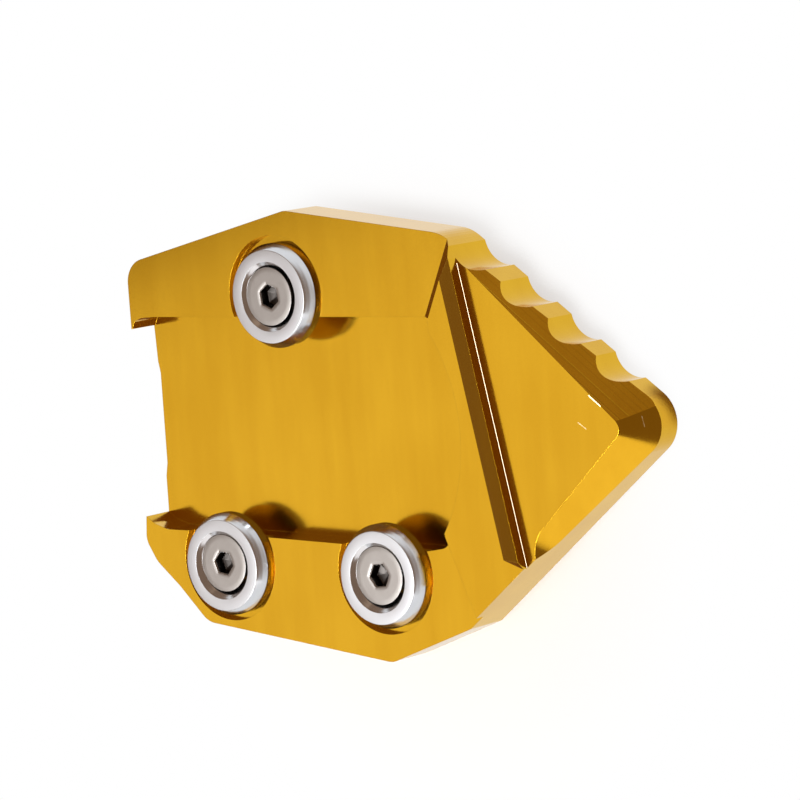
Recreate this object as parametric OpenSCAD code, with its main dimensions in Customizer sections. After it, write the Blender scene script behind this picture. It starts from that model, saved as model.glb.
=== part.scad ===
// Kickstand foot enlarger for a motorcycle: a thick milled plate with a pocket
// for the stand's foot, held by three cup washers on countersunk M6 screws.
// Millimetres. The plate lies on its sole: +Z is up, out of the pocket, +X runs
// along the rails towards the pointed end and +Y towards the short rail's edge.
// Drawn about the single rail screw, then moved so that the origin is the
// middle of the sole's bounding box.

/* [Plate] */
// Overall length along the rails
plate_length = 126.2; // [110:0.1:150]
// Overall width across the rails
plate_width = 87.3; // [80:0.1:110]

/* [Heights above the sole] */
// Top of the ridge, the full thickness of the plate
ridge_height = 12.75; // [9:0.05:20]
// Level ground between the pocket and the ridge
land_height = 11.45; // [8:0.05:18]
// Sunk three cornered field at the pointed end
field_height = 10.5; // [7:0.05:17]
// Both rails beside the pocket
rail_height = 9.4; // [6:0.05:16]
// Counterbore floors, where the washers sit
seat_height = 7.7; // [4:0.05:14]
// Pocket floor under the stand's foot
floor_height = 2.7; // [1:0.05:6]

/* [Ridge and bevels] */
// Tilt of the ridge's long flank, in degrees
flank_tilt = 16.9; // [5:0.1:45]
// Tilt of the ramp between the single rail and the land, in degrees
ramp_tilt = 43.5; // [20:0.5:80]
// Tilt of the small facet that ends the ridge, in degrees
facet_tilt = 43; // [20:0.5:80]
// Tilt of the bevel above the scalloped edge, in degrees
bevel_tilt = 47.3; // [20:0.1:70]
// Tilt of the lower bevel, in degrees
low_bevel_tilt = 44.6; // [20:0.1:70]
// Radius of the field's corner at the point
field_corner_r = 2.2; // [0.5:0.1:6]
// Radius the cutter left where the lower bevel runs in
run_in_r = 8.5; // [3:0.5:20]

/* [Edge] */
// Number of scallops along the upper edge
scallop_count = 4; // [0:1:5]
// Distance from one scallop to the next
scallop_pitch = 11.87; // [9:0.01:16]
// Radius of each scallop
scallop_r = 6; // [4.5:0.1:9]
// Width of each scallop along the edge
scallop_width = 8.03; // [4:0.01:10]
// Radius of the plate's point
point_r = 6.5; // [2:0.1:12]
// Radius of the pocket's closed end
pocket_end_r = 35; // [30:0.5:60]

/* [Washers and screws] */
// Counterbore diameter
seat_dia = 23.5; // [21:0.1:26]
// Washer diameter at its foot
washer_dia = 20.4; // [18:0.1:23]
// Washer diameter at its face
washer_face_dia = 18.1; // [15:0.1:20]
// Height of the washer
washer_height = 4.2; // [3:0.1:6]
// Height of the washer's straight foot
washer_foot = 2.1; // [0.5:0.1:4]
// Mouth of the washer's 90 degree countersink
sink_dia = 13.6; // [12:0.1:15]
// Through hole of the washer
washer_bore = 7; // [6.8:0.1:7.5]
// How far a loose washer hangs off its screw's axis
washer_slack = 0.38; // [0:0.01:0.39]
// Screw head diameter
head_dia = 11.4; // [10:0.1:12]
// Height of the head's straight rim
head_rim = 0.1; // [0:0.05:0.3]
// Depth of the head below the washer's face
head_recess = 0.6; // [0:0.1:1.5]
// Overall length of a screw
screw_length = 10; // [8:0.5:11]
// Diameter over the thread, which is drawn plain
thread_dia = 5.96; // [5.8:0.01:6]
// Hole for the thread, drawn plain at the nominal size
tapped_dia = 6; // [6:0.01:6.2]
// Hexagon socket width across its flats
socket_width = 4; // [3:0.1:5]
// Hexagon socket depth
socket_depth = 2.3; // [1:0.1:3]

/* [Colours] */
// Gold anodised aluminium of the plate
plate_colour = "#D9A326";
// Bare aluminium of the washers
washer_colour = "#C9C5C6";
// Stainless steel of the screws
screw_colour = "#B9B0A8";

/* [Hidden] */
$fn = 96;
far = 300;
skin = 5;

// Reach of the plate to the left of the single rail screw and below it
left_reach = 39.6;
low_reach = 70.93;
// Middle of the bounding box, measured from the single rail screw
middle = [plate_length / 2 - left_reach, plate_width / 2 - low_reach];
// How far the point and the single rail's outer edge move with those sizes
stretch = plate_length - 126.2;
spread = plate_width - 87.3;

// Screw axes
screw_single_at = [-0.35, 0];
screw_left_at = [-17.71, -52.8];
screw_right_at = [22.02, -53.8];

// Corners where the scalloped edge and the lower edge start, and the point
// where they would meet
shoulder = [41.9, 11.57 + spread];
heel = [42.06, -63.59];
point = [90.74 + stretch, -24.31];

// Plate outline seen from above, anticlockwise: x, y and corner radius.
// The point keeps its sharp corner here and is rounded by point_round.
outline = [
    [-38.95, 6.39 + spread, 5], [-39.02, -6.4, 0], [-38.75, -13.9, 0.5], [-38.3, -16.3, 0.5],
    [-38.5, -34.5, 0.5], [-39.05, -37.2, 0.5], [-39.15, -43.9, 0], [-39.7, -49.2, 4],
    [-37.2, -53.4, 6], [-31.6, -58.2, 8], [-24.75, -65.16, 5], [22.24, -71.01, 4],
    [heel[0], heel[1], 3], [point[0], point[1], 0], [shoulder[0], shoulder[1], 9],
    [3.48, 16.4 + spread, 3]
];

// Pocket outline, without the round of its closed end
pocket_mouth = -60;
pocket_right = 38.8;
pocket_top = -4.2;
pocket = [
    [pocket_mouth, -6.65, 0], [-38.7, -6.65, 0.2], [-38, -5.1, 1], [-36.2, -4.4, 2],
    [-32.4, pocket_top, 4],
    [pocket_right, pocket_top, 0.5], [pocket_right, -7, 0], [-pocket_mouth, -7, 0],
    [-pocket_mouth, -45.3, 0], [39.2, -45.3, 0], [37.9, -48.2, 2.5], [33, -49, 3],
    [-28.4, -46.9, 3], [-33.7, -46.85, 4], [-37.2, -45.75, 3], [-39.3, -44.35, 0.3],
    [pocket_mouth, -44.35, 0]
];
pocket_end_at = [9.65, -26.1];
// Height of the straight stretches where the round end meets the corners
pocket_corner = 10;

// Direction along the scalloped edge and where its first scallop starts
edge_angle = atan2(point[1] - shoulder[1], point[0] - shoulder[0]);
edge_start = shoulder + 3.8 * [cos(edge_angle), sin(edge_angle)];
low_edge_angle = atan2(point[1] - heel[1], point[0] - heel[0]);
// Centre of the round point, on the line that halves the angle there
half_point = (low_edge_angle - edge_angle) / 2;
point_turn = 180 + (edge_angle + low_edge_angle) / 2;
point_at = point + point_r / sin(half_point) * [cos(point_turn), sin(point_turn)];
// Direction of the ridge, the foot of its flank and its crest
ridge_angle = -78.8;
flank_foot = [42.59, 1.7];
crest = [46.05, 6.51];
// Step from the double rail to the land
step_angle = -68.15;
step_from = [39.06, -45.55];
// The single rail ends at this line across the plate, the double rail beyond it
rail_split = -25;
// Points on the sloped faces and the directions in which they descend
ramp_at = [39.6, 2.25, rail_height];
ramp_azimuth = 155;
facet_at = [52.82, -49.7, land_height];
facet_azimuth = -109.2;
bevel_at = [66 + stretch / 2, -10.5 + spread / 2, field_height];
bevel_azimuth = 48.5;
low_bevel_at = [68.7 + stretch, -37.15, field_height];
low_bevel_azimuth = -46.7;
run_in_at = [61.6 + stretch, -43.79, field_height];

// Centre of the field's round corner, equally far inside both bevels' edges
upper = bevel_at * [cos(bevel_azimuth), sin(bevel_azimuth), 0] - field_corner_r;
lower = low_bevel_at * [cos(low_bevel_azimuth), sin(low_bevel_azimuth), 0] - field_corner_r;
between = sin(low_bevel_azimuth - bevel_azimuth);
field_corner_at = [
    (upper * sin(low_bevel_azimuth) - lower * sin(bevel_azimuth)) / between,
    (lower * cos(bevel_azimuth) - upper * cos(low_bevel_azimuth)) / between
];
// Reach of the prisms that cut the round corners free
corner_reach = 60;

function unit(v) = v / norm(v);
// Points of one rounded corner b between its neighbours a and c
function corner(a, b, c, r) =
    let (u = unit(a - b), v = unit(c - b), half = acos(u * v) / 2,
         reach = r / tan(half), mid = b + unit(u + v) * r / sin(half),
         from = b + u * reach - mid, to = b + v * reach - mid,
         start = atan2(from[1], from[0]), turn = atan2(to[1], to[0]) - start,
         sweep = turn > 180 ? turn - 360 : turn < -180 ? turn + 360 : turn,
         steps = max(2, ceil(abs(sweep) / 7)))
    [for (i = [0:steps]) mid + r * [cos(start + sweep * i / steps), sin(start + sweep * i / steps)]];
function xy(p) = [p[0], p[1]];
// Polygon points with every corner of a list rounded by its third value
function rounded(list) =
    let (n = len(list))
    [for (i = [0:n - 1])
        let (b = list[i])
        for (q = b[2] > 0 ? corner(xy(list[(i + n - 1) % n]), xy(b), xy(list[(i + 1) % n]), b[2]) : [xy(b)]) q];

// Everything above a plane through a point that descends towards an azimuth
module above_plane(at, azimuth, tilt) {
    translate(at)
        rotate([0, 0, azimuth])
            rotate([0, tilt, 0])
                translate([-far, -far, 0])
                    cube([2 * far, 2 * far, far]);
}

// Everything to the left of a line, seen along its direction, above a height
module left_of(at, angle, height) {
    translate([at[0], at[1], height])
        rotate([0, 0, angle])
            translate([-far, 0, 0])
                cube([2 * far, far, far]);
}

// Everything to the right of that line
module right_of(at, angle, height) {
    translate([at[0], at[1], height])
        rotate([0, 0, angle])
            translate([-far, -far, 0])
                cube([2 * far, far, far]);
}

// Land side of the ridge: level ground, then the flank up to the crest
module land_cut() {
    intersection() {
        above_plane([flank_foot[0], flank_foot[1], land_height], ridge_angle - 90, flank_tilt);
        translate([0, 0, land_height])
            translate([-far, -far, 0])
                cube([2 * far, 2 * far, far]);
    }
    intersection() {
        above_plane(facet_at, facet_azimuth, facet_tilt);
        translate([-far, -far, land_height])
            cube([2 * far, 2 * far, far]);
    }
}

// The single rail ends in a ramp, the double rail in an upright step
module rail_cut() {
    intersection() {
        above_plane(ramp_at, ramp_azimuth, ramp_tilt);
        translate([-far, rail_split, rail_height])
            cube([2 * far, far, far]);
    }
    intersection() {
        right_of(step_from, step_angle, rail_height);
        translate([-far, rail_split - far, rail_height])
            cube([2 * far, far, far]);
    }
}

// Field beyond the crest with the bevels round it
module field_cut() {
    left_of(crest, ridge_angle, field_height);
    intersection() {
        left_of(crest, ridge_angle, -skin);
        above_plane(bevel_at, bevel_azimuth, bevel_tilt);
    }
    difference() {
        translate([field_corner_at[0], field_corner_at[1], -skin])
            linear_extrude(ridge_height + 2 * skin)
                polygon([[0, 0], corner_reach * [cos(low_bevel_azimuth), sin(low_bevel_azimuth)],
                         [corner_reach, 0], corner_reach * [cos(bevel_azimuth), sin(bevel_azimuth)]]);
        translate([field_corner_at[0], field_corner_at[1], 0])
            cylinder(r1 = field_corner_r + field_height / tan(low_bevel_tilt), r2 = 0.05,
                     h = field_height + (field_corner_r - 0.05) * tan(low_bevel_tilt));
    }
}

// Lower bevel, with the round that its cutter left where it ran in
module low_bevel_cut() {
    intersection() {
        above_plane(low_bevel_at, low_bevel_azimuth, low_bevel_tilt);
        left_of(run_in_at, low_bevel_azimuth, -skin);
    }
    translate(run_in_at)
        rotate([0, 0, low_bevel_azimuth])
            rotate([0, low_bevel_tilt, 0])
                translate([0, 0, run_in_r])
                    rotate([0, 90, 0])
                        cylinder(r = run_in_r, h = corner_reach, center = true);
}

// Scallops along the upper edge
module scallop_cut() {
    out = sqrt(pow(scallop_r, 2) - pow(scallop_width / 2, 2));
    for (i = [0:1:scallop_count - 1])
        translate([edge_start[0], edge_start[1], -skin])
            rotate([0, 0, edge_angle])
                translate([scallop_width / 2 + i * scallop_pitch, out, 0])
                    cylinder(r = scallop_r, h = ridge_height + 2 * skin);
}

// Rounds the plate's point
module point_round() {
    difference() {
        translate([point_at[0], point_at[1], -skin])
            linear_extrude(ridge_height + 2 * skin)
                polygon([[0, 0], 2 * point_r * [sin(low_edge_angle), -cos(low_edge_angle)],
                         [corner_reach, 0], 2 * point_r * [-sin(edge_angle), cos(edge_angle)]]);
        translate([point_at[0], point_at[1], -2 * skin])
            cylinder(r = point_r, h = ridge_height + 4 * skin);
    }
}

// Pocket for the stand's foot, open at the left and round at its closed end
module pocket_cut() {
    intersection() {
        translate([0, 0, floor_height])
            linear_extrude(ridge_height)
                polygon(rounded(pocket));
        union() {
            translate([pocket_end_at[0], pocket_end_at[1], floor_height])
                cylinder(r = pocket_end_r, h = ridge_height, $fn = 180);
            translate([-far, -far, floor_height])
                cube([far, 2 * far, ridge_height]);
            translate([0, -7, floor_height])
                cube([pocket_right, pocket_corner, ridge_height]);
            translate([0, -45.3 - pocket_corner, floor_height])
                cube([39.2, pocket_corner, ridge_height]);
        }
    }
}

// Counterbore and tapped hole of one screw
module screw_seat(at) {
    translate([at[0], at[1], seat_height])
        cylinder(d = seat_dia, h = ridge_height);
    translate([at[0], at[1], -skin])
        cylinder(d = tapped_dia, h = ridge_height + 2 * skin);
}

module plate() {
    color(plate_colour)
        translate([-middle[0], -middle[1], 0])
            difference() {
                linear_extrude(ridge_height)
                    polygon(rounded(outline));
                point_round();
                scallop_cut();
                rail_cut();
                land_cut();
                field_cut();
                low_bevel_cut();
                pocket_cut();
                screw_seat(screw_single_at);
                screw_seat(screw_left_at);
                screw_seat(screw_right_at);
            }
}

// Cup washer with a sloped rim and a countersink, shifted off its screw
module washer(at, shift) {
    sink_depth = (sink_dia - washer_bore) / 2;
    color(washer_colour)
        translate([at[0] + shift[0] - middle[0], at[1] + shift[1] - middle[1], seat_height])
            rotate_extrude()
                polygon([
                    [washer_bore / 2, 0], [washer_dia / 2 - 0.3, 0], [washer_dia / 2, 0.3],
                    [washer_dia / 2, washer_foot], [washer_face_dia / 2, washer_height],
                    [sink_dia / 2, washer_height], [washer_bore / 2, washer_height - sink_depth]
                ]);
}

// Countersunk screw with a hexagon socket, its thread drawn as a plain rod
module screw(at) {
    top = seat_height + washer_height - head_recess;
    cone = (head_dia - thread_dia) / 2;
    color(screw_colour)
        translate([at[0] - middle[0], at[1] - middle[1], top])
            difference() {
                rotate_extrude()
                    polygon([
                        [0, 0], [head_dia / 2, 0], [head_dia / 2, -head_rim], [thread_dia / 2, -head_rim - cone],
                        [thread_dia / 2, 0.6 - screw_length], [thread_dia / 2 - 0.6, -screw_length],
                        [0, -screw_length]
                    ]);
                translate([0, 0, -socket_depth])
                    cylinder(d = socket_width / cos(30), h = far, $fn = 6);
            }
}

module washer_single() {
    washer(screw_single_at, [washer_slack, 0]);
}

module washer_left() {
    washer(screw_left_at, [0, -washer_slack]);
}

module washer_right() {
    washer(screw_right_at, [0, -washer_slack]);
}

module screw_single() {
    screw(screw_single_at);
}

module screw_left() {
    screw(screw_left_at);
}

module screw_right() {
    screw(screw_right_at);
}

plate();
washer_single();
washer_left();
washer_right();
screw_single();
screw_left();
screw_right();
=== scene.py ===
"""Finish and studio for the kickstand foot enlarger.

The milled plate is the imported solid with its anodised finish. The cup washers
and the screws are computed here with the rounded edges, turned lines, sockets
and threads of the real ones, and stand for their plain solids.
"""
import math

import bmesh
import bpy
import numpy as np
from mathutils import Matrix, Vector


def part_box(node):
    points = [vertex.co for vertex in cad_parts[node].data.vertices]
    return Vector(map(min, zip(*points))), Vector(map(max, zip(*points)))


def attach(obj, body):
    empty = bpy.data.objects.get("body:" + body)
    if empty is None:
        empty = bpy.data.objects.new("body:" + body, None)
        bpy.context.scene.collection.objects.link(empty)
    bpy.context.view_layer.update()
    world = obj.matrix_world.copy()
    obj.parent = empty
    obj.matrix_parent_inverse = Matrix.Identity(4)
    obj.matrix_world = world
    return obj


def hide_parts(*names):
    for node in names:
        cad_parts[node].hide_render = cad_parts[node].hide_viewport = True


bl_info = {
    "name": "Kickstand foot enlarger",
    "version": (1, 0, 0),
    "blender": (4, 5, 0),
    "location": "3D View > Sidebar > Foot enlarger",
    "description": "Anodised plate, cup washers and socket screws in a plain studio",
    "category": "Object",
}

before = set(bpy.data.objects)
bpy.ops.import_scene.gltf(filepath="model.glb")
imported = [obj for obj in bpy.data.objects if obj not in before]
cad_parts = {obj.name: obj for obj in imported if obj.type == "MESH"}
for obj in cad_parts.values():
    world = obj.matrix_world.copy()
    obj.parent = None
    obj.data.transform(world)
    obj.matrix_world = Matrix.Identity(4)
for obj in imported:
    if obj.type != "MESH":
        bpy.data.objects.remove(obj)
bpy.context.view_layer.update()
MM = 0.001
PLACES = ("single", "left", "right")
ROUND_STEPS = 128
# Bevel above the scalloped edge: its normal and the way down it
BEVEL_NORMAL = (0.435, 0.592, 0.678)
BEVEL_DOWN = (0.401, 0.546, -0.735)
# The painted highlights face this way, and so catch the edge lamp
CATCHING = (0.446, 0.079, 0.891)
# Ends and width of the painted highlight at the ridge's foot, of the chip beside the field, which is
# painted pale as a highlight, and of two marks in the dye
RIDGE_HIGHLIGHT = ((0.02265, 0.03325, 0.0105), (0.03395, -0.02380, 0.0105), 0.22 * MM)
FIELD_CHIP_HIGHLIGHT = ((0.05120, 0.00870, 0.0105), (0.05359, 0.00685, 0.0105), 0.35 * MM)
FIELD_MARK = ((0.04829, 0.00373, 0.0105), (0.05002, 0.00256, 0.0105), 0.25 * MM)
POINT_SCRAPE = ((0.06043, 0.00458, 0.00717), (0.06084, 0.00268, 0.00712), 0.22 * MM)
# Sizes of the patterns in the finishes, and the depths of their relief
MILLED_BAND = 5.263 * MM
FINE_GRAIN = 0.38462 * MM
DYE_CLOUD = 22.222 * MM
DULL_PATCH = 3.3333 * MM
CUTTER_DEPTH = 0.05 * MM
GRAIN_DEPTH = 0.02 * MM
RING_DEPTH = 0.01 * MM
# Thread depth in pitches, and the depth and length of the slant at the screw's tip
THREAD_DEPTH = 0.61
TIP_SLANT = (0.78 * MM, 0.7 * MM)
# The paper runs from shadow into white between these distances from its middle, and from the shaded
# spot into white between the next two. The white wall ends between the last two, as the way's rise
PAPER_HALF = 8.0
PAPER_MIDDLE = (0, -0.015, 0)
PAPER_FADE = (0.03, 0.07)
SPOT_FADE = (0.0065, 0.0105)
WALL_FADE = (0.10, 0.2)
# Camera at the photograph's angle, 0.83 m away and looking down on the plate
CAMERA_LENS = 193.5
CAMERA_AT = (0.52363, 0.09795, 0.63245)
CAMERA_AXES = ((0.77206, -0.07607, -0.63098), (-0.01208, 0.99088, -0.13424), (0.63543, 0.11127, 0.7641))


def linear(code, alpha=1.0):
    """Hex sRGB colour as linear red, green, blue and alpha: the sRGB curve undone channel by channel."""
    c = np.array([int(code[i:i + 2], 16) for i in (1, 3, 5)]) / 255
    lin = np.where(c <= 0.04045, c / 12.92, ((c + 0.055) / 1.055) ** 2.4)
    return (*[float(v) for v in lin], alpha)


def add(tree, kind, x, y, settings=None, links=None, values=None):
    """Adds one node at a place, with its settings, its socket values and the links into it."""
    n = tree.nodes.new(kind)
    n.location = (x, y)
    for key, value in (settings or {}).items():
        setattr(n, key, value)
    for key, value in (values or {}).items():
        n.inputs[key].default_value = value
    for key, value in (links or {}).items():
        tree.links.new(value, n.inputs[key])
    return n


def material(name):
    """An empty node material and its tree."""
    m = bpy.data.materials.new(name)
    m.use_nodes = True
    m.node_tree.nodes.clear()
    return m, m.node_tree


def scratch(tree, at, start, end, width, x, y):
    """Mask of one straight scratch: 1 where the distance to the stretch from start to end is under half
    the width. The distance is taken from p - start less its share along the stretch, held to 0..1."""
    a, b = Vector(start), Vector(end)
    along = b - a
    off = add(tree, "ShaderNodeVectorMath", x, y, {"operation": "SUBTRACT"}, {0: at}, {1: a})
    reach = add(tree, "ShaderNodeVectorMath", x + 160, y, {"operation": "DOT_PRODUCT"},
                {0: off.outputs[0]}, {1: along / along.length_squared})
    held = add(tree, "ShaderNodeClamp", x + 320, y, links={"Value": reach.outputs["Value"]})
    foot = add(tree, "ShaderNodeVectorMath", x + 480, y, {"operation": "SCALE"},
               {"Scale": held.outputs[0]}, {0: along})
    gap = add(tree, "ShaderNodeVectorMath", x + 640, y, {"operation": "DISTANCE"},
              {0: off.outputs[0], 1: foot.outputs[0]})
    mask = add(tree, "ShaderNodeMapRange", x + 800, y, links={"Value": gap.outputs["Value"]},
               values={"From Min": width / 4, "From Max": width / 2, "To Min": 1.0, "To Max": 0.0})
    return mask.outputs[0]


# Finishes
def gold_anodised_aluminium(s):
    """Milled aluminium under a clear, gold dyed oxide: mirror-like and deep, with faint cutter marks on the
    flats, a paler line where the cutter broke each edge, bare scratches through the dye, and painted
    highlights in pale colour at the ridge's foot and on the chip beside the field."""
    m, t = material("gold_anodised_aluminium")
    at = add(t, "ShaderNodeTexCoord", -1800, 0).outputs["Object"]
    # Broad passes of the face mill: soft bands about 5 mm wide across the length
    spread = add(t, "ShaderNodeMapping", -1600, 200, links={"Vector": at}, values={"Scale": (1, 0.12, 1)})
    passes = add(t, "ShaderNodeTexNoise", -1400, 200, links={"Vector": spread.outputs[0]},
                 values={"Scale": 1 / MILLED_BAND, "Detail": 3.0, "Roughness": 0.55})
    grain = add(t, "ShaderNodeTexNoise", -1400, -100, links={"Vector": at},
                values={"Scale": 1 / FINE_GRAIN, "Detail": 2.0})
    cloud = add(t, "ShaderNodeTexNoise", -1400, 800, links={"Vector": at},
                values={"Scale": 1 / DYE_CLOUD, "Detail": 2.0})
    shade = add(t, "ShaderNodeMath", -1200, 500, {"operation": "ADD"},
                {0: passes.outputs["Fac"], 1: cloud.outputs["Fac"]})
    mixed = add(t, "ShaderNodeMapRange", -1000, 500, links={"Value": shade.outputs[0]},
                values={"From Min": 0.75, "From Max": 1.25})
    tint = add(t, "ShaderNodeMix", -800, 500, {"data_type": "RGBA"}, {"Factor": mixed.outputs[0]},
               {"A": linear(s.plate_light), "B": linear(s.plate_deep)})
    # Cutter lines along the bevel above the scallops, drawn coarser than the real ones so that they show
    facing = add(t, "ShaderNodeNewGeometry", -1800, -400)
    like = add(t, "ShaderNodeVectorMath", -1600, -400, {"operation": "DOT_PRODUCT"},
               {0: facing.outputs["True Normal"]}, {1: BEVEL_NORMAL})
    bevel = add(t, "ShaderNodeMapRange", -1400, -400, links={"Value": like.outputs["Value"]},
                values={"From Min": 0.98, "From Max": 0.99})
    down = add(t, "ShaderNodeVectorMath", -1600, -600, {"operation": "DOT_PRODUCT"},
               {0: at}, {1: BEVEL_DOWN})
    lines = add(t, "ShaderNodeTexNoise", -1400, -600, {"noise_dimensions": "1D"},
                {"W": down.outputs["Value"]}, {"Scale": 1 / s.cutter_line, "Detail": 2.0})
    relief = add(t, "ShaderNodeMath", -1200, -500, {"operation": "MULTIPLY"},
                 {0: lines.outputs["Fac"], 1: bevel.outputs[0]})
    # Painted highlights at the ridge's foot and on the chip, in pale colour and facing the edge lamp, and
    # marks where the dye is gone
    painted_edge_highlight = scratch(t, at, *RIDGE_HIGHLIGHT, -1800, -900)
    chip_highlight = scratch(t, at, *FIELD_CHIP_HIGHLIGHT, -1800, -1100)
    painted_highlight = add(t, "ShaderNodeMath", -800, -900, {"operation": "MAXIMUM"}, {0: painted_edge_highlight, 1: chip_highlight})
    mark = scratch(t, at, *FIELD_MARK, -1800, -1300)
    scrape = scratch(t, at, *POINT_SCRAPE, -1800, -1500)
    gone = add(t, "ShaderNodeMath", -800, -1300, {"operation": "MAXIMUM"}, {0: mark, 1: scrape})
    broken = add(t, "ShaderNodeMath", -600, -1300, {"operation": "MULTIPLY"},
                 {0: gone.outputs[0], 1: grain.outputs["Fac"]})
    shown = add(t, "ShaderNodeMath", -500, -1100, {"operation": "MAXIMUM"},
                {0: broken.outputs[0], 1: painted_highlight.outputs[0]})
    # Pale colour for the scraped marks and for the painted highlights
    bare = add(t, "ShaderNodeMix", -600, 500, {"data_type": "RGBA"},
               {"Factor": shown.outputs[0], "A": tint.outputs["Result"]}, {"B": linear(s.bare_metal_and_highlight)})
    rough = add(t, "ShaderNodeMapRange", -600, 0, links={"Value": grain.outputs["Fac"]},
                values={"To Min": s.plate_roughness * 0.8, "To Max": s.plate_roughness * 1.25})
    dull = add(t, "ShaderNodeMath", -400, 0, {"operation": "MULTIPLY_ADD"},
               {0: gone.outputs[0], 2: rough.outputs[0]}, {1: 0.3})
    edge = add(t, "ShaderNodeBevel", -1000, -300, {"samples": 6}, values={"Radius": s.edge_round})
    grooves = add(t, "ShaderNodeBump", -600, -400,
                  links={"Height": relief.outputs[0], "Normal": edge.outputs[0]},
                  values={"Strength": 1.0, "Distance": CUTTER_DEPTH})
    fine = add(t, "ShaderNodeBump", -400, -400,
               links={"Height": grain.outputs["Fac"], "Normal": grooves.outputs[0]},
               values={"Strength": 0.05, "Distance": GRAIN_DEPTH})
    turned = add(t, "ShaderNodeMix", -200, -400, {"data_type": "VECTOR"},
                 {"Factor": painted_highlight.outputs[0], "A": fine.outputs[0]}, {"B": CATCHING})
    shader = add(t, "ShaderNodeBsdfPrincipled", 0, 0,
                 links={"Base Color": bare.outputs["Result"], "Roughness": dull.outputs[0],
                        "Normal": turned.outputs["Result"]}, values={"Metallic": 1.0})
    add(t, "ShaderNodeOutputMaterial", 300, 0, links={"Surface": shader.outputs[0]})
    return m


def turned_metal(name, light, deep, roughness, depth, shaded, s):
    """Bare metal turned on a lathe: rings round the piece's own axis give a satin sheen with dull clouds.
    The real lines lie 0.05 to 0.1 mm apart; here they are as coarse as the picture can show."""
    m, t = material(name)
    own = add(t, "ShaderNodeAttribute", -1400, 0, {"attribute_name": "from_axis"}).outputs["Vector"]
    # One ring wave is 0.314 / scale long
    rings = add(t, "ShaderNodeTexWave", -1000, 0, {"wave_type": "RINGS", "rings_direction": "Z"},
                {"Vector": own}, {"Scale": 0.314 / s.turned_line, "Distortion": 1.0, "Detail": 3.0})
    cloud = add(t, "ShaderNodeTexNoise", -1000, -300, links={"Vector": own},
                values={"Scale": 1 / DULL_PATCH, "Detail": 5.0})
    tint = add(t, "ShaderNodeMix", -600, 200, {"data_type": "RGBA"}, {"Factor": cloud.outputs["Fac"]},
               {"A": linear(light), "B": linear(deep)})
    # Painted shade: the colour darkens with depth below the piece's own top, so the socket's walls look
    # shaded
    low = add(t, "ShaderNodeSeparateXYZ", -1200, -500, links={0: own}).outputs["Z"]
    socket_shade = add(t, "ShaderNodeMapRange", -1000, -500, links={"Value": low},
                values={"From Min": -0.1 * MM, "From Max": -0.7 * MM, "To Min": 0.0, "To Max": shaded})
    soiled = add(t, "ShaderNodeMix", -400, 200, {"data_type": "RGBA"},
                 {"Factor": socket_shade.outputs[0], "A": tint.outputs["Result"]}, {"B": linear(s.socket_shade)})
    # The slanted side, the countersink and the socket are smoother than the faced top
    tilt = add(t, "ShaderNodeNewGeometry", -1400, 300).outputs["True Normal"]
    rise = add(t, "ShaderNodeSeparateXYZ", -1200, 300, links={0: tilt}).outputs["Z"]
    faced = add(t, "ShaderNodeMapRange", -1000, 300, links={"Value": rise},
                values={"From Min": 0.85, "From Max": 0.97, "To Min": roughness * 0.4, "To Max": roughness})
    rough = add(t, "ShaderNodeMath", -800, 100, {"operation": "MULTIPLY_ADD"},
                {0: cloud.outputs["Fac"], 2: faced.outputs[0]}, {1: 0.06})
    bump = add(t, "ShaderNodeBump", -400, -400, links={"Height": rings.outputs["Fac"]},
               values={"Strength": depth, "Distance": RING_DEPTH})
    shader = add(t, "ShaderNodeBsdfPrincipled", 0, 0,
                 links={"Base Color": soiled.outputs["Result"], "Roughness": rough.outputs[0],
                        "Normal": bump.outputs[0]}, values={"Metallic": 1.0})
    add(t, "ShaderNodeOutputMaterial", 300, 0, links={"Surface": shader.outputs[0]})
    return m


# Shapes
def rounded_profile(points, steps=5):
    """Profile polyline in radius and height. Each point's third value is the radius of the round
    that replaces it: an arc tangent to both neighbours, worked out from the half angle between them."""
    p = np.array([q[:2] for q in points], float)
    out = []
    for i, (x, y, r) in enumerate(points):
        if r <= 0 or i in (0, len(points) - 1):
            out.append(p[i:i + 1])
            continue
        u = p[i - 1] - p[i]
        v = p[i + 1] - p[i]
        u /= np.linalg.norm(u)
        v /= np.linalg.norm(v)
        half = math.acos(float(np.clip(u @ v, -1, 1))) / 2
        mid = p[i] + (u + v) / np.linalg.norm(u + v) * r / math.sin(half)
        a = p[i] + u * r / math.tan(half) - mid
        b = p[i] + v * r / math.tan(half) - mid
        start, end = math.atan2(a[1], a[0]), math.atan2(b[1], b[0])
        turn = (end - start + math.pi) % (2 * math.pi) - math.pi
        th = start + turn * np.linspace(0, 1, steps + 1)
        out.append(mid + r * np.c_[np.cos(th), np.sin(th)])
    return np.concatenate(out)


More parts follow.
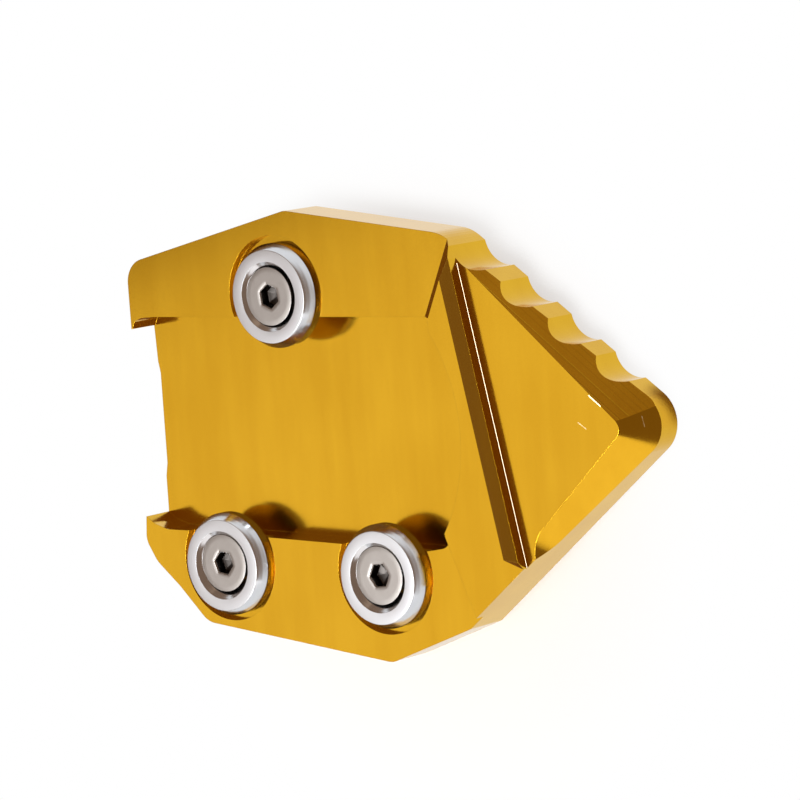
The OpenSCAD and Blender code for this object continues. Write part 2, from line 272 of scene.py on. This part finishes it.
def turned_piece(name, foot, radius, height, angle, closed):
    """Puts the grid x = r cos v, y = r sin v, z = h into a mesh at its foot point. The points of a pole
    are merged, so the shape is closed, and the faces are then turned outwards."""
    rows, cols = radius.shape
    own = np.stack([radius * np.cos(angle), radius * np.sin(angle), height + 0 * angle], -1).reshape(-1, 3)
    i, j = np.meshgrid(np.arange(rows if closed else rows - 1), np.arange(cols), indexing="ij")
    k, n = (i + 1) % rows, (j + 1) % cols
    faces = np.stack([i * cols + j, i * cols + n, k * cols + n, k * cols + j], -1).reshape(-1, 4)
    me = bpy.data.meshes.new(name)
    me.from_pydata((own + np.array(foot)).tolist(), [], faces.tolist())
    bm = bmesh.new()
    bm.from_mesh(me)
    bmesh.ops.remove_doubles(bm, verts=bm.verts, dist=1e-7)
    bmesh.ops.recalc_face_normals(bm, faces=bm.faces)
    bm.to_mesh(me)
    bm.free()
    me.polygons.foreach_set("use_smooth", np.full(len(me.polygons), True))
    me.set_sharp_from_angle(angle=math.radians(35))
    place = np.empty(len(me.vertices) * 3)
    me.vertices.foreach_get("co", place)
    from_axis = place.reshape(-1, 3) - np.array(foot)
    me.attributes.new("from_axis", "FLOAT_VECTOR", "POINT").data.foreach_set("vector", from_axis.ravel())
    ob = bpy.data.objects.new(name, me)
    bpy.context.scene.collection.objects.link(ob)
    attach(ob, "root")
    return ob


def cup_washer(place, s):
    """Profile carried round the washer's axis: bore, foot, rim, slanted side, face and countersink, with
    each corner rounded by its own radius."""
    lo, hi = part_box("washer_" + place)
    r_out = (hi.x - lo.x) / 2
    h = hi.z - lo.z
    bore = s.washer_bore / 2
    seat = h - (s.washer_mouth / 2 - bore)
    break_edge = 0.2 * MM
    prof = rounded_profile([
        (bore, break_edge, 0), (bore + break_edge, 0, 0),
        (r_out - break_edge, 0, 0), (r_out, break_edge, 0),
        (r_out, s.washer_rim, s.washer_edge), (s.washer_face / 2, h, s.washer_edge),
        (s.washer_mouth / 2, h, s.washer_edge / 2), (bore, seat, s.washer_edge / 2)])
    a = np.linspace(0, 2 * np.pi, ROUND_STEPS, endpoint=False)
    return turned_piece("cup_washer_" + place, ((lo.x + hi.x) / 2, (lo.y + hi.y) / 2, lo.z),
                        prof[:, :1] + 0 * a, prof[:, 1:] + 0 * a, a, True)


def socket_screw(place, turn, s):
    """Countersunk screw as r(u, v). The socket takes the hexagon's radius w / 2 / cos(v mod 60 - 30), the
    rim and the cone are turned, and the thread is a triangle wave of z / pitch - v / 360, so it winds
    as a helix and runs out at the tip."""
    lo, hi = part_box("screw_" + place)
    head = (hi.x - lo.x) / 2
    length = hi.z - lo.z
    a = np.linspace(0, 2 * np.pi, ROUND_STEPS * 3 // 4, endpoint=False)
    hexagon = s.socket_width / 2 / np.cos((a + np.pi / 6) % (np.pi / 3) - np.pi / 6)
    # Share of the hexagon, added radius and height, from the drill point up to the mouth's chamfer
    well = np.array([(0, 0, -s.socket_depth - 0.6 * MM), (0.5, 0, -s.socket_depth - 0.3 * MM),
                     (0.96, 0, -s.socket_depth), (1, 0, -s.socket_depth + 0.05 * MM), (1, 0, -0.3 * MM),
                     (1, 0.05 * MM, -0.18 * MM), (1, 0.16 * MM, -0.05 * MM), (1, 0.26 * MM, 0)])
    neck = head - s.shank / 2 + s.head_rim
    top = rounded_profile([(head - 1.2 * MM, 0, 0), (head, 0, s.head_rim * 0.8), (head, -s.head_rim, 0),
                           (s.shank / 2, -neck, 0)], 3)
    across = np.array([[0.33], [0.66]])
    mouth = well[-1, 0] * hexagon + well[-1, 1]
    z = np.linspace(-neck, -length, 120)[1:, None]
    wave = 1 - np.abs(2 * ((z / s.pitch - a / (2 * np.pi)) % 1) - 1)
    slant, run_out = TIP_SLANT
    tip = s.shank / 2 - slant * (1 - np.clip((length + z) / run_out, 0, 1))
    thread = np.minimum(s.shank / 2 - THREAD_DEPTH * s.pitch * wave, tip)
    radius = np.concatenate([well[:, :1] * hexagon + well[:, 1:2],
                             mouth * (1 - across) + top[0, 0] * across,
                             top[:, :1] + 0 * a, thread, 0 * a[None]])
    height = np.concatenate([well[:, 2:] + 0 * a, 0 * across + 0 * a, top[:, 1:] + 0 * a, z + 0 * a,
                             -length + 0 * a[None]])
    return turned_piece("socket_screw_" + place, ((lo.x + hi.x) / 2, (lo.y + hi.y) / 2, hi.z),
                        radius, height, a + math.radians(turn), False)


# Settings
def colour(name, description, default):
    """A colour setting, kept as a hex sRGB code."""
    return bpy.props.StringProperty(name=name, description=description, default=default)


def size(name, description, default):
    """A length setting, given in millimetres and kept in metres."""
    return bpy.props.FloatProperty(name=name, description=description, default=default * MM, min=0,
                                   precision=5, unit="LENGTH", subtype="DISTANCE")


def share(name, description, default):
    """A setting between 0 and 1."""
    return bpy.props.FloatProperty(name=name, description=description, default=default, min=0, max=1,
                                   subtype="FACTOR")


class FootEnlargerSettings(bpy.types.PropertyGroup):
    """Colours, sizes and light that a user would change"""
    plate_light: colour("Plate light", "Lighter gold of the plate", "#DDAE2B")
    plate_deep: colour("Plate deep", "Deeper gold of the plate", "#D5A526")
    plate_roughness: share("Plate roughness", "Roughness of the milled and anodised faces", 0.15)
    edge_round: size("Edge round", "Rounding of the plate's edges", 0.08)
    washer_light: colour("Washer", "Bare metal of the washers", "#DADCE0")
    washer_deep: colour("Washer dull", "Dull patches of the washers", "#CED0D4")
    screw_light: colour("Screw", "Metal of the screws", "#B4B0AC")
    screw_deep: colour("Screw dull", "Dull patches of the screws", "#A09A95")
    # Also the colour of the painted highlights at the ridge's foot and on the chip
    bare_metal_and_highlight: colour("Bare metal", "Aluminium where the dye is scraped off", "#F4E2C4")
    # Colour of the painted shade deep in the sockets
    socket_shade: colour("Grime", "Oil in the sockets", "#2A2421")
    cutter_line: size("Cutter lines", "Spacing of the lines on the bevel above the scallops", 0.4)
    turned_line: size("Turned lines", "Spacing of the turned lines", 0.45)
    washer_bore: size("Washer bore", "Bore of the washers", 7.0)
    washer_face: size("Washer face", "Outer diameter of the washer's face", 18.1)
    washer_mouth: size("Countersink", "Mouth of the washer's countersink", 13.6)
    washer_rim: size("Washer rim", "Height of the washer's straight rim", 2.1)
    washer_edge: size("Washer edge", "Rounding of the washer's edges", 0.12)
    shank: size("Shank", "Diameter over the screw's thread", 5.96)
    pitch: size("Pitch", "Pitch of the screw's thread", 1.0)
    head_rim: size("Head rim", "Straight rim of the screw's head", 0.1)
    socket_width: size("Socket", "Width across the socket's flats", 4.0)
    socket_depth: size("Socket depth", "Depth of the socket", 2.3)
    socket_turns: bpy.props.FloatVectorProperty(
        name="Socket turns", description="Turn of each screw's socket",
        default=[math.radians(v) for v in (8, 20, 35)], subtype="EULER")
    floor_colour: colour("Floor", "Pale floor", "#FAFAFA")
    shade_at: bpy.props.FloatVectorProperty(
        name="Shade", description="Middle of the shaded paper that metal sees",
        default=(0.0675, 0.0095, 0), unit="LENGTH", subtype="XYZ")
    dark_colour: colour("Dark surround", "Warm dark of the studio above the horizon", "#866D5A")
    key_light: bpy.props.FloatProperty(
        name="Key light", description="Radiance of the key lamp", default=15.0)
    key_colour: colour("Key colour", "Cool white of the key lamp", "#F8FCFF")
    warm_colour: colour("Warm fill", "Warm fill at the back", "#FFDDBB")
    soft_light: bpy.props.FloatProperty(
        name="Soft light", description="Radiance of the soft box", default=0.83)


class FOOT_OT_plate(bpy.types.Operator):
    """Gives the milled plate its gold anodised finish"""
    bl_idname = "foot_enlarger.plate"
    bl_label = "Plate finish"

    def execute(self, context):
        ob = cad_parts["plate"]
        ob.data.materials.clear()
        ob.data.materials.append(gold_anodised_aluminium(context.scene.foot_enlarger))
        return {"FINISHED"}


class FOOT_OT_washers(bpy.types.Operator):
    """Makes the three cup washers"""
    bl_idname = "foot_enlarger.washers"
    bl_label = "Cup washers"

    def execute(self, context):
        s = context.scene.foot_enlarger
        finish = turned_metal("turned_aluminium", s.washer_light, s.washer_deep, 0.32, 0.2, 0.0, s)
        for place in PLACES:
            ob = cup_washer(place, s)
            ob.data.materials.append(finish)
            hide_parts("washer_" + place)
        return {"FINISHED"}


class FOOT_OT_screws(bpy.types.Operator):
    """Makes the three countersunk socket screws"""
    bl_idname = "foot_enlarger.screws"
    bl_label = "Socket screws"

    def execute(self, context):
        s = context.scene.foot_enlarger
        # The screws take 0.85 of the painted socket shade
        finish = turned_metal("stainless_steel", s.screw_light, s.screw_deep, 0.38, 0.12, 0.85, s)
        for place, turn in zip(PLACES, s.socket_turns):
            ob = socket_screw(place, math.degrees(turn), s)
            ob.data.materials.append(finish)
            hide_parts("screw_" + place)
        return {"FINISHED"}


def panel(name, azimuth, elevation, distance, width, height, radiance, tint="#FFFFFF"):
    """Area lamp at a direction from the object, facing it. Its power is radiance x area x pi."""
    az, el = math.radians(azimuth), math.radians(elevation)
    place = distance * Vector((math.cos(el) * math.cos(az), math.cos(el) * math.sin(az), math.sin(el)))
    data = bpy.data.lights.new(name, "AREA")
    data.shape = "RECTANGLE"
    data.size, data.size_y = width, height
    data.energy = radiance * width * height * math.pi
    data.color = linear(tint)[:3]
    ob = bpy.data.objects.new(name, data)
    ob.location = place
    ob.rotation_euler = (-place).to_track_quat("-Z", "Y").to_euler()
    bpy.context.scene.collection.objects.link(ob)


class FOOT_OT_stage(bpy.types.Operator):
    """Makes the floor, the lamps, the surround and the camera"""
    bl_idname = "foot_enlarger.stage"
    bl_label = "Stage"

    def execute(self, context):
        s = context.scene.foot_enlarger
        scene = context.scene
        me = bpy.data.meshes.new("floor")
        w = PAPER_HALF
        me.from_pydata([(-w, -w, 0), (w, -w, 0), (w, w, 0), (-w, w, 0)], [], [(0, 1, 2, 3)])
        floor = bpy.data.objects.new("floor", me)
        scene.collection.objects.link(floor)
        # Matt white paper: it takes the object's shadow nearby and runs out into plain white
        m, t = material("matt_white_paper")
        at = add(t, "ShaderNodeTexCoord", -1200, 300).outputs["Object"]
        away = add(t, "ShaderNodeVectorMath", -1000, 300, {"operation": "DISTANCE"},
                   {0: at}, {1: PAPER_MIDDLE})
        far = add(t, "ShaderNodeMapRange", -800, 300, {"interpolation_type": "SMOOTHSTEP"},
                  {"Value": away.outputs["Value"]}, {"From Min": PAPER_FADE[0], "From Max": PAPER_FADE[1]})
        # Metal sees the shaded paper only beside the point
        beside = add(t, "ShaderNodeVectorMath", -1000, 0, {"operation": "DISTANCE"},
                     {0: at}, {1: s.shade_at})
        bright = add(t, "ShaderNodeMapRange", -800, 0, {"interpolation_type": "SMOOTHSTEP"},
                     {"Value": beside.outputs["Value"]},
                     {"From Min": SPOT_FADE[0], "From Max": SPOT_FADE[1]})
        seen = add(t, "ShaderNodeLightPath", -1000, -300)
        mirrored = add(t, "ShaderNodeMath", -800, -300, {"operation": "ADD", "use_clamp": True},
                       {0: seen.outputs["Is Glossy Ray"], 1: seen.outputs["Is Transmission Ray"]})
        shown = add(t, "ShaderNodeMath", -600, 200, {"operation": "MULTIPLY"},
                    {0: far.outputs[0], 1: seen.outputs["Is Camera Ray"]})
        whiter = add(t, "ShaderNodeMath", -400, 100, {"operation": "MULTIPLY_ADD"},
                     {0: bright.outputs[0], 1: mirrored.outputs[0], 2: shown.outputs[0]})
        matt = add(t, "ShaderNodeBsdfDiffuse", -400, -200, values={"Color": linear(s.floor_colour)})
        white = add(t, "ShaderNodeEmission", -400, -400,
                    values={"Color": linear("#FFFFFF"), "Strength": 1.0})
        mix = add(t, "ShaderNodeMixShader", 0, 0,
                  links={0: whiter.outputs[0], 1: matt.outputs[0], 2: white.outputs[0]})
        add(t, "ShaderNodeOutputMaterial", 200, 0, links={"Surface": mix.outputs[0]})
        me.materials.append(m)

        # White wall up to a little above the horizon, dark studio above it
        world = bpy.data.worlds.new("studio")
        scene.world = world
        world.use_nodes = True
        t = world.node_tree
        t.nodes.clear()
        way = add(t, "ShaderNodeTexCoord", -800, 0).outputs["Generated"]
        rise = add(t, "ShaderNodeSeparateXYZ", -600, 0, links={0: way}).outputs["Z"]
        level = add(t, "ShaderNodeMapRange", -400, 0, {"interpolation_type": "SMOOTHSTEP"}, {"Value": rise},
                    {"From Min": WALL_FADE[0], "From Max": WALL_FADE[1]})
        wall = add(t, "ShaderNodeMix", -300, 0, {"data_type": "RGBA"}, {"Factor": level.outputs[0]},
                   {"A": linear("#FFFFFF"), "B": linear(s.dark_colour)})
        glow = add(t, "ShaderNodeBackground", -200, 0, links={"Color": wall.outputs["Result"]})
        add(t, "ShaderNodeOutputWorld", 0, 0, links={"Surface": glow.outputs[0]})

        # At the camera the flats mirror the soft box, the broken edges the edge lamp, and the bevels
        # the low ones
        panel("soft_box", azimuth=-159, elevation=57, distance=1.2, width=0.52, height=0.75,
              radiance=s.soft_light)
        panel("key_lamp", azimuth=-115, elevation=70, distance=1.2, width=0.5, height=0.5,
              radiance=s.key_light, tint=s.key_colour)
        panel("edge_lamp", azimuth=10, elevation=76, distance=1.2, width=0.2, height=0.2, radiance=4)
        panel("low_front", azimuth=-75, elevation=20, distance=1.0, width=1.45, height=0.36, radiance=1.05)
        panel("low_back", azimuth=82, elevation=24, distance=1.0, width=0.5, height=0.4, radiance=0.2,
              tint=s.warm_colour)

        cam = bpy.data.cameras.new("camera")
        cam.lens = CAMERA_LENS
        cam.sensor_width = 36.0
        cam.clip_start, cam.clip_end = 0.05, 50
        ob = bpy.data.objects.new("camera", cam)
        turn = Matrix(CAMERA_AXES).transposed().to_4x4()
        ob.matrix_world = Matrix.Translation(Vector(CAMERA_AT)) @ turn
        scene.collection.objects.link(ob)
        scene.camera = ob
        scene.view_settings.view_transform = "Standard"
        return {"FINISHED"}


class VIEW3D_PT_foot_enlarger(bpy.types.Panel):
    """Lists the pieces and the stage"""
    bl_idname = "VIEW3D_PT_foot_enlarger"
    bl_label = "Foot enlarger"
    bl_space_type = "VIEW_3D"
    bl_region_type = "UI"
    bl_category = "Foot enlarger"

    def draw(self, context):
        col = self.layout.column()
        for step in STEPS:
            col.operator(step.bl_idname)


STEPS = (FOOT_OT_plate, FOOT_OT_washers, FOOT_OT_screws, FOOT_OT_stage)
CLASSES = (FootEnlargerSettings, *STEPS, VIEW3D_PT_foot_enlarger)


def register():
    for c in CLASSES:
        bpy.utils.register_class(c)
    bpy.types.Scene.foot_enlarger = bpy.props.PointerProperty(type=FootEnlargerSettings)


def unregister():
    del bpy.types.Scene.foot_enlarger
    for c in reversed(CLASSES):
        bpy.utils.unregister_class(c)


def main():
    register()
    bpy.ops.foot_enlarger.plate()
    bpy.ops.foot_enlarger.washers()
    bpy.ops.foot_enlarger.screws()
    bpy.ops.foot_enlarger.stage()


if __name__ == "__main__":
    main()
